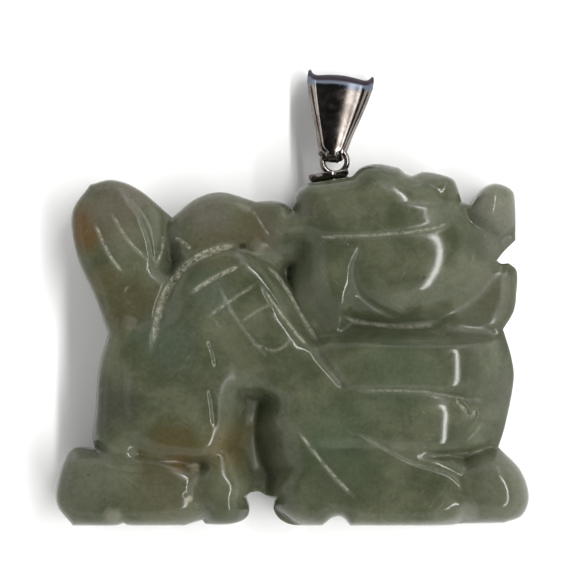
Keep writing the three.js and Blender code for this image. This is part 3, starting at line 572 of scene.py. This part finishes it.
def stoneMaterial(share, corner):
    material, tree, shader = newMaterial("polishedAventurine")
    look = stoneLook
    place = addNode(tree, "ShaderNodeTexCoord").outputs["Object"]

    mottle = ramp(tree, noise(tree, place, look["mottle"], 6.0, 0.62), 0.32, 0.68)
    colour = mixColour(tree, mottle, look["deep"], look["pale"])
    cloudPlace = wandered(tree, place, look["cloudDrift"], share)
    colour = tintedSpots(tree, colour, cloudPlace, stone["clouds"], share, corner, 0.25)
    grain = ramp(tree, noise(tree, place, look["grain"], 5.0, 0.7), 0.35, 0.70, 0.90, 1.10)
    colour = mixColour(tree, 1.0, colour, grain, "MULTIPLY")
    # painted shade: the colour darkens towards the hollow colour in the valleys and in the cuts without
    # frost
    hollowShade = addNode(tree, "ShaderNodeAttribute", attribute_name="hollowShade").outputs["Fac"]
    colour = mixColour(tree, mathNode(tree, "MULTIPLY", hollowShade, 0.70, True), colour, look["hollowShade"])
    spotPlace = wandered(tree, place, look["spotDrift"], share)
    colour = tintedSpots(tree, colour, spotPlace, stone["spots"], share, corner, 0.35)
    specks = noise(tree, place, look["specks"], 2.0, 0.6)
    colour = mixColour(tree, ramp(tree, specks, 0.72, 0.78, 0.0, 0.6), colour, look["speck"])

    frost = addNode(tree, "ShaderNodeAttribute", attribute_name="frost").outputs["Fac"]
    broken = ramp(tree, noise(tree, place, look["chalkBreaks"], 5.0, 0.75), 0.34, 0.64)
    grainy = ramp(tree, noise(tree, place, look["chalkGrain"], 3.0, 0.7), 0.26, 0.58)
    broken = mathNode(tree, "MULTIPLY", broken, grainy)
    chalky = mathNode(tree, "MULTIPLY", ramp(tree, frost, 0.30, 0.62), broken, True)
    rising, falling = scratches(tree, place, 35, 0.31), scratches(tree, place, -52, 0.77)
    marks = mathNode(tree, "ADD", rising, falling, True)
    marks = mathNode(tree, "MULTIPLY", marks, look["marks"])
    pale = mathNode(tree, "ADD", mathNode(tree, "MULTIPLY", chalky, 0.85), marks, True)
    colour = mixColour(tree, pale, colour, look["chalk"])
    tree.links.new(colour, shader.inputs["Base Color"])

    rough = look["roughness"]
    for where, kind in ((frost, "chalk"), (hollowShade, "hollowShade"), (marks, "mark")):
        extra = mathNode(tree, "MULTIPLY", where, look[kind + "Roughness"])
        rough = mathNode(tree, "ADD", rough, extra)
    tree.links.new(rough, shader.inputs["Roughness"])
    shader.inputs["IOR"].default_value = 1.54
    shader.inputs["Specular IOR Level"].default_value = 0.19
    shader.inputs["Subsurface Weight"].default_value = 0.3
    shader.inputs["Subsurface Radius"].default_value = (0.9, 1.2, 0.7)
    shader.inputs["Subsurface Scale"].default_value = 0.001
    dimples = mathNode(tree, "MULTIPLY", noise(tree, place, look["dimples"], 3.0, 0.5), 0.12)
    height = mathNode(tree, "SUBTRACT", dimples, pale)
    bump = addNode(tree, "ShaderNodeBump", {"Height": height, "Strength": 0.5, "Distance": 0.00008})
    tree.links.new(bump.outputs[0], shader.inputs["Normal"])
    return material


steelLook = {
    "bright": (0.210, 0.190, 0.175, 1),
    "worn": (0.130, 0.110, 0.096, 1),
    "tarnish": (0.075, 0.055, 0.050, 1),
    # painted reflections on the fold: its pale bluish sheen band and its dark crest
    "foldSheen": (0.12, 0.137, 0.175, 1),
    "foldShade": (0.018, 0.012, 0.020, 1),
    "edgeTint": (0.42, 0.38, 0.40, 1),
    "wear": 500,                   # noise scales, per metre
    "stains": 1300,
    "smudges": 1400,
    "roughness": 0.12,
}


# Polished steel, worn in clouds. The bail's attribute "fold" runs from 0 on its legs to 1 on
# the crest of the fold, and over the fold a painted reflection is laid: a pale bluish sheen
# lower down and a dark shade over the crest.
def steelMaterial():
    material, tree, shader = newMaterial("polishedSteel")
    look = steelLook
    place = addNode(tree, "ShaderNodeTexCoord").outputs["Object"]
    wear = ramp(tree, noise(tree, place, look["wear"], 4.0, 0.6), 0.38, 0.66)
    colour = mixColour(tree, wear, look["bright"], look["worn"])
    stain = ramp(tree, noise(tree, place, look["stains"], 5.0, 0.65), 0.58, 0.72, 0.0, 0.8)
    colour = mixColour(tree, stain, colour, look["tarnish"])
    fold = addNode(tree, "ShaderNodeAttribute", attribute_name="fold").outputs["Fac"]
    # painted reflection on the fold: a pale bluish sheen, then a dark shade over the crest, which is
    # also rougher and less metallic
    colour = mixColour(tree, ramp(tree, fold, 0.10, 0.24, 0.0, 0.9), colour, look["foldSheen"])
    shade = ramp(tree, fold, 0.38, 0.52)
    colour = mixColour(tree, shade, colour, look["foldShade"])
    tree.links.new(colour, shader.inputs["Base Color"])
    smooth, dull = look["roughness"] * 0.7, look["roughness"] * 1.6
    smudge = ramp(tree, noise(tree, place, look["smudges"], 4.0, 0.6), 0.3, 0.7, smooth, dull)
    smudge = mathNode(tree, "ADD", smudge, mathNode(tree, "MULTIPLY", shade, 0.25))
    tree.links.new(smudge, shader.inputs["Roughness"])
    metal = mathNode(tree, "SUBTRACT", 1.0, mathNode(tree, "MULTIPLY", shade, 0.7))
    tree.links.new(metal, shader.inputs["Metallic"])
    shader.inputs["Specular Tint"].default_value = look["edgeTint"]
    shader.inputs["Specular IOR Level"].default_value = 0.2
    return material


# Where the fittings stand: the cap's seat, its turn, and the bail hung from the eye
fittings = {
    "clearance": 0.3 * mm,
    "capDiameter": 3.9 * mm,
    "capThickness": 0.5 * mm,
    "capSoftness": 0.12 * mm,
    "capUnderside": ((0.25 * mm, -0.3 * mm), (0.12 * mm, -0.08 * mm), (0, 0.05 * mm)),
    "eyeDiameter": 2.9 * mm,
    "eyeWire": 0.5 * mm,     # the wire that the bail is hung from
    "eyeShift": 0.8 * mm,
    "ringWire": 0.55 * mm,   # the wire that is drawn
    "beadRadius": 0.22 * mm,
    "beadAngle": 143,        # where the solder bead sits on the ring, in degrees from its right
    "beadRise": 0.15 * mm,
}
bail = {
    "length": 9.8 * mm,
    "width": 6.05 * mm,
    "depth": 4.2 * mm,
    "wall": 0.4 * mm,        # what its place is worked out with
    "sheet": 0.28 * mm,      # what is drawn
    "waist": 2.3 * mm,       # width just over the eye
    "foot": 1.0 * mm,        # width inside the eye
    "slack": 0.45 * mm,
    "bulge": 0.3,
    "backWidth": 0.74,       # the back leg's width, as a part of the front's
    "spread": (-0.45 * mm, 0.1 * mm),    # heights between which foot widens to waist
    "crown": 0.5 * mm,       # how far the strip's middle stands out
    "flare": 0.75 * mm,      # how far its rims turn up
    "flarePower": 10.0,
    "softEdge": 0.06 * mm,
    "foldEnd": 0.8 * mm,     # how far down the legs the fold's tint reaches
    "lean": 6.5,             # degrees to the right
    "acrossSteps": 32,
    "foldSteps": 41,
    "legSteps": 25,
}


def fittingPlaces(share, corner, middle):
    right, left = (np.array(p) * share + corner for p in stone["outline"]["capSeat"])
    seat = (right + left) / 2
    turn = math.atan2(right[1] - left[1], right[0] - left[0])
    base = Matrix.Translation((*seat, middle)) @ Matrix.Rotation(turn, 4, "Z")
    eyeTop = fittings["clearance"] + fittings["eyeDiameter"] - fittings["eyeWire"] / 2
    footRadius = fittings["eyeWire"] / 2 + fittings["clearance"]
    reach = bail["length"] - bail["depth"] / 2 - footRadius - bail["wall"]
    droop = math.asin((middle - bail["depth"] / 2) / (reach - bail["slack"]))
    hang = base @ Matrix.Translation((fittings["eyeShift"], eyeTop, 0))
    hang = hang @ Matrix.Rotation(-math.radians(bail["lean"]) - turn, 4, "Z")
    hang = hang @ Matrix.Rotation(-droop, 4, "X")
    hang = hang @ Matrix.Translation((0, -bail["slack"], 0))
    return base @ Matrix.Translation((0, fittings["clearance"], 0)), hang, footRadius, reach


def newTree(name, sizes):
    tree = bpy.data.node_groups.new(name, "GeometryNodeTree")
    tree.interface.new_socket("Geometry", in_out="INPUT", socket_type="NodeSocketGeometry")
    for size, kind in sizes.items():
        tree.interface.new_socket(size, in_out="INPUT", socket_type=kind)
    tree.interface.new_socket("Geometry", in_out="OUTPUT", socket_type="NodeSocketGeometry")
    return tree, addNode(tree, "NodeGroupInput").outputs, addNode(tree, "NodeGroupOutput").inputs


def finishTree(tree, shape, material, result):
    smooth = addNode(tree, "GeometryNodeSetShadeSmooth", {"Geometry": shape}).outputs[0]
    real = addNode(tree, "GeometryNodeRealizeInstances", {"Geometry": smooth}).outputs[0]
    dressed = addNode(tree, "GeometryNodeSetMaterial", {"Geometry": real, "Material": material})
    tree.links.new(dressed.outputs[0], result[0])


# Runs a tree on a piece, with its inputs by name, and leaves the outcome as a plain mesh in place
def runTree(piece, tree, values, thicken=None, bevel=None):
    modifier = piece.modifiers.new(tree.name, "NODES")
    modifier.node_group = tree
    for socket in tree.interface.items_tree:
        if socket.in_out == "INPUT" and socket.name in values:
            modifier[socket.identifier] = values[socket.name]
    if thicken:
        solid = piece.modifiers.new("wall", "SOLIDIFY")
        solid.thickness, solid.offset = thicken, -1.0
    if bevel:
        soften = piece.modifiers.new("edges", "BEVEL")
        soften.width, soften.segments, soften.limit_method = bevel, 3, "ANGLE"
        soften.angle_limit = math.radians(50)
    evaluated = piece.evaluated_get(bpy.context.evaluated_depsgraph_get())
    mesh = bpy.data.meshes.new_from_object(evaluated)
    piece.modifiers.clear()
    piece.data = mesh
    return piece


# A strip swept along the fold, as wide as the path's own attribute says
def bailTree(material):
    sizes = {"Flare": "NodeSocketFloat", "Flare Power": "NodeSocketFloat",
             "Crown": "NodeSocketFloat", "Steps": "NodeSocketInt"}
    tree, given, result = newTree("bailStrip", sizes)
    width = addNode(tree, "GeometryNodeInputNamedAttribute", {"Name": "halfWidth"})
    width = width.outputs["Attribute"]
    curve = addNode(tree, "GeometryNodeMeshToCurve", {"Mesh": given["Geometry"]}).outputs[0]
    inputs = {"Curve": curve, "Normal": (1, 0, 0)}
    curve = addNode(tree, "GeometryNodeSetCurveNormal", inputs, mode="FREE").outputs[0]
    inputs = {"Curve": curve, "Radius": width}
    curve = addNode(tree, "GeometryNodeSetCurveRadius", inputs).outputs[0]

    # the strip's profile, from its right rim to its left
    inputs = {"Count": given["Steps"], "Start Location": (1, 0, 0), "Offset": (-1, 0, 0)}
    line = addNode(tree, "GeometryNodeMeshLine", inputs, mode="END_POINTS").outputs[0]
    position = addNode(tree, "GeometryNodeInputPosition").outputs[0]
    across = addNode(tree, "ShaderNodeSeparateXYZ", {0: position}).outputs[0]
    aside = mathNode(tree, "ABSOLUTE", across)
    lift = mathNode(tree, "POWER", aside, given["Flare Power"])
    lift = mathNode(tree, "MULTIPLY", lift, given["Flare"])
    fall = mathNode(tree, "MULTIPLY", mathNode(tree, "POWER", aside, 2.0), given["Crown"])
    raised = mathNode(tree, "SUBTRACT", lift, fall)
    lifted = addNode(tree, "ShaderNodeCombineXYZ", {0: across, 1: raised}).outputs[0]
    inputs = {"Geometry": line, "Position": lifted}
    line = addNode(tree, "GeometryNodeSetPosition", inputs).outputs[0]
    profile = addNode(tree, "GeometryNodeMeshToCurve", {"Mesh": line}).outputs[0]
    strip = addNode(tree, "GeometryNodeCurveToMesh", {"Curve": curve, "Profile Curve": profile})
    if "Scale" in strip.inputs:
        tree.links.new(width, strip.inputs["Scale"])
    finishTree(tree, strip.outputs[0], material, result)
    return tree


# Half the strip's width at a height over the eye; backward is 1 on the back leg
def bailHalfWidth(height, reach, backward):
    start, end = bail["spread"]
    t = min(max((height - end) / (reach - end), 0), 1)
    t = t + bail["bulge"] * t**2 * (1 - t)
    above = bail["waist"] + (bail["width"] - bail["waist"]) * t
    above *= 1 - (1 - bail["backWidth"]) * float(smoothStep(backward))
    spread = float(smoothStep((height - start) / (end - start)))
    return (bail["foot"] + (above - bail["foot"]) * spread) / 2


def makeBail(material, hang, footRadius, reach):
    topRadius = bail["depth"] / 2 - (bail["flare"] - bail["crown"])
    footRadius += bail["wall"]
    legAngle = math.pi / 2 + math.asin((topRadius - footRadius) / reach)
    path = [(reach + topRadius * math.cos(a), topRadius * math.sin(a))
            for a in np.linspace(-legAngle, legAngle, bail["foldSteps"])]
    foot = [(footRadius * math.cos(a), footRadius * math.sin(a))
            for a in np.linspace(legAngle, 2 * math.pi - legAngle, bail["legSteps"])]
    along = np.linspace(0, 1, bail["legSteps"])[1:-1]
    front = [tuple(np.add(path[-1], np.subtract(foot[0], path[-1]) * t)) for t in along]
    back = [tuple(np.add(foot[-1], np.subtract(path[0], foot[-1]) * t)) for t in along]
    path += front + foot + back
    mesh = bpy.data.meshes.new("foldedBail")
    edges = [(i, (i + 1) % len(path)) for i in range(len(path))]
    mesh.from_pydata([(0, y, z) for y, z in path], edges, [])
    widths = mesh.attributes.new("halfWidth", "FLOAT", "POINT")
    widths.data.foreach_set("value", [bailHalfWidth(y, reach, -z / topRadius) for y, z in path])
    folds = mesh.attributes.new("fold", "FLOAT", "POINT")
    low, high = reach - bail["foldEnd"], reach + topRadius
    folds.data.foreach_set("value", [min(max((y - low) / (high - low), 0), 1) for y, z in path])
    piece = bpy.data.objects.new("foldedBail", mesh)
    bpy.context.scene.collection.objects.link(piece)
    half = bail["width"] / 2
    values = {"Flare": bail["flare"] / half, "Flare Power": bail["flarePower"],
              "Crown": bail["crown"] / half, "Steps": bail["acrossSteps"] + 1}
    runTree(piece, bailTree(material), values, thicken=bail["sheet"], bevel=bail["softEdge"])
    piece.data.transform(hang)
    return piece


def ringTree(material):
    sizes = {"Ring Radius": "NodeSocketFloat", "Wire Radius": "NodeSocketFloat",
             "Bead Radius": "NodeSocketFloat", "Bead Place": "NodeSocketVector"}
    tree, given, result = newTree("eyeRing", sizes)
    inputs = {"Resolution": 72, "Radius": given["Ring Radius"]}
    path = addNode(tree, "GeometryNodeCurvePrimitiveCircle", inputs).outputs[0]
    inputs = {"Resolution": 24, "Radius": given["Wire Radius"]}
    wire = addNode(tree, "GeometryNodeCurvePrimitiveCircle", inputs).outputs[0]
    ring = addNode(tree, "GeometryNodeCurveToMesh", {"Curve": path, "Profile Curve": wire})
    inputs = {"Segments": 24, "Rings": 14, "Radius": given["Bead Radius"]}
    bead = addNode(tree, "GeometryNodeMeshUVSphere", inputs).outputs[0]
    inputs = {"Geometry": bead, "Translation": given["Bead Place"]}
    bead = addNode(tree, "GeometryNodeTransform", inputs)
    both = addNode(tree, "GeometryNodeJoinGeometry")
    for part in (ring, bead):
        tree.links.new(part.outputs[0], both.inputs[0])
    finishTree(tree, both.outputs[0], material, result)
    return tree


# A round turned about +Y from a profile of (radius, height)
def turned(profile, steps):
    vertices, faces = [], []
    for radius, height in profile:
        for i in range(steps):
            a = 2 * math.pi * i / steps
            vertices.append((radius * math.cos(a), height, -radius * math.sin(a)))
    for row in range(len(profile) - 1):
        for i in range(steps):
            j = (i + 1) % steps
            here, above = row * steps, (row + 1) * steps
            faces.append((here + i, here + j, above + j, above + i))
    faces.append(tuple(reversed(range(steps))))
    faces.append(tuple(range((len(profile) - 1) * steps, len(profile) * steps)))
    return vertices, faces


def makeCap(material, seat):
    radius, thick = fittings["capDiameter"] / 2, fittings["capThickness"]
    soft = fittings["capSoftness"]
    arc = [(radius - soft + soft * math.cos(a), thick - soft + soft * math.sin(a))
           for a in np.linspace(0, math.pi / 2, 6)]
    underside = [(radius - inset, height) for inset, height in fittings["capUnderside"]]
    disc = addPiece("capAndEye", *turned([*underside, *arc], 72), material)
    ring = addPiece("eyeRing", [(0, 0, 0)], [], material)
    eyeRadius = (fittings["eyeDiameter"] - fittings["eyeWire"]) / 2
    beadAngle = math.radians(fittings["beadAngle"])
    beadReach = fittings["eyeDiameter"] / 2 + fittings["beadRadius"] * 0.6
    beadPlace = (beadReach * math.cos(beadAngle), beadReach * math.sin(beadAngle), fittings["beadRise"])
    values = {"Ring Radius": eyeRadius, "Wire Radius": fittings["ringWire"] / 2,
              "Bead Radius": fittings["beadRadius"], "Bead Place": beadPlace}
    runTree(ring, ringTree(material), values)
    ring.data.transform(Matrix.Translation((fittings["eyeShift"], fittings["eyeDiameter"] / 2, 0)))
    with bpy.context.temp_override(active_object=disc, selected_editable_objects=[disc, ring]):
        bpy.ops.object.join()
    disc.data.transform(seat)
    return disc


loop, share, corner, middle = layOutStone()
stonePiece = makeStone(stoneMaterial(share, corner), loop, share, corner, middle)
print("stone carved:", len(stonePiece.data.polygons), "faces")
steel = steelMaterial()
seat, hang, footRadius, reach = fittingPlaces(share, corner, middle)
bailPiece = makeBail(steel, hang, footRadius, reach)
print("bail folded:", len(bailPiece.data.polygons), "faces")
capPiece = makeCap(steel, seat)
print("cap and eye made:", len(capPiece.data.polygons), "faces")

for piece, node, slot in ((stonePiece, "stone_carving", "stone"), (bailPiece, "bail", "steel"),
                          (capPiece, "cap_with_eye", "steel")):
    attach(piece, "root")
    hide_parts(node)

studio = {
    "cameraHeight": 0.45,
    "viewWidth": 56.66 * mm,       # what the photograph's width takes in at the outline's plane
    "aim": (-0.24 * mm, 0.60 * mm),
    "floorSize": 1.2,
    "floorColour": (0.95, 0.95, 0.945, 1),
    "stripAngle": 24,              # degrees from straight up, towards +X
    "stripDistance": 0.55,
    "stripSize": (0.030, 0.85),
    "stripPower": 3.6,
    "skyLow": (1.30, 1.75),        # left and right, near the horizon
    "skyHigh": 0.05,               # straight up
    "skyBreak": (0.72, 0.86),      # heights between which it darkens
    "skyBack": 0.35,               # how much lower that is towards the bail
    "window": (0.20, 0.31, 0.36),  # a bright pane over the bail: where it begins, is full, and ends
    "windowStrength": 4.6,
}


def makeStudio(middle):
    camera = bpy.data.objects.new("camera", bpy.data.cameras.new("camera"))
    bpy.context.scene.collection.objects.link(camera)
    camera.location = (*studio["aim"], middle + studio["cameraHeight"])
    camera.data.sensor_width = 36
    camera.data.lens = 36 * studio["cameraHeight"] / studio["viewWidth"]
    camera.data.clip_start, camera.data.clip_end = 0.01, 10
    bpy.context.scene.camera = camera

    half = studio["floorSize"] / 2
    material, tree, shader = newMaterial("paleFloor")
    shader.inputs["Base Color"].default_value = studio["floorColour"]
    shader.inputs["Roughness"].default_value = 0.9
    shader.inputs["Specular IOR Level"].default_value = 0.0
    corners = [(-half, -half, 0), (half, -half, 0), (half, half, 0), (-half, half, 0)]
    floor = addPiece("floor", corners, [(0, 1, 2, 3)], material, smooth=False)

    angle = math.radians(studio["stripAngle"])
    light = bpy.data.lights.new("strip", "AREA")
    light.shape = "RECTANGLE"
    light.size, light.size_y = studio["stripSize"]
    light.energy = studio["stripPower"]
    strip = bpy.data.objects.new("strip", light)
    strip.location = Vector((math.sin(angle), 0, math.cos(angle))) * studio["stripDistance"]
    strip.rotation_euler = (0, angle, 0)
    bpy.context.scene.collection.objects.link(strip)

    world = bpy.data.worlds.new("studio")
    bpy.context.scene.world = world
    world.use_nodes = True
    sky = world.node_tree
    upward = addNode(sky, "ShaderNodeTexCoord").outputs["Generated"]
    toSide = addNode(sky, "ShaderNodeSeparateXYZ", {0: upward}).outputs
    low = ramp(sky, toSide[0], -0.7, 0.7, *studio["skyLow"])
    back = mathNode(sky, "MULTIPLY", mathNode(sky, "MAXIMUM", toSide[1], 0.0), studio["skyBack"])
    lit = ramp(sky, mathNode(sky, "ADD", toSide[2], back), *studio["skyBreak"], 1.0, 0.0)
    strength = mathNode(sky, "MAXIMUM", mathNode(sky, "MULTIPLY", low, lit), studio["skyHigh"])
    begin, full, end = studio["window"]
    left, right = ramp(sky, toSide[0], begin, full), ramp(sky, toSide[0], end, end + 0.04, 1.0, 0.0)
    front = ramp(sky, toSide[1], 0.30, 0.40, 0.0, studio["windowStrength"])
    pane = mathNode(sky, "MULTIPLY", mathNode(sky, "MULTIPLY", left, right), front)
    strength = mathNode(sky, "MAXIMUM", strength, pane)
    sky.links.new(strength, sky.nodes["Background"].inputs["Strength"])
    sky.nodes["Background"].inputs["Color"].default_value = (1, 1, 1, 1)
    bpy.context.scene.view_settings.view_transform = "Standard"


makeStudio(middle)
print("studio set")
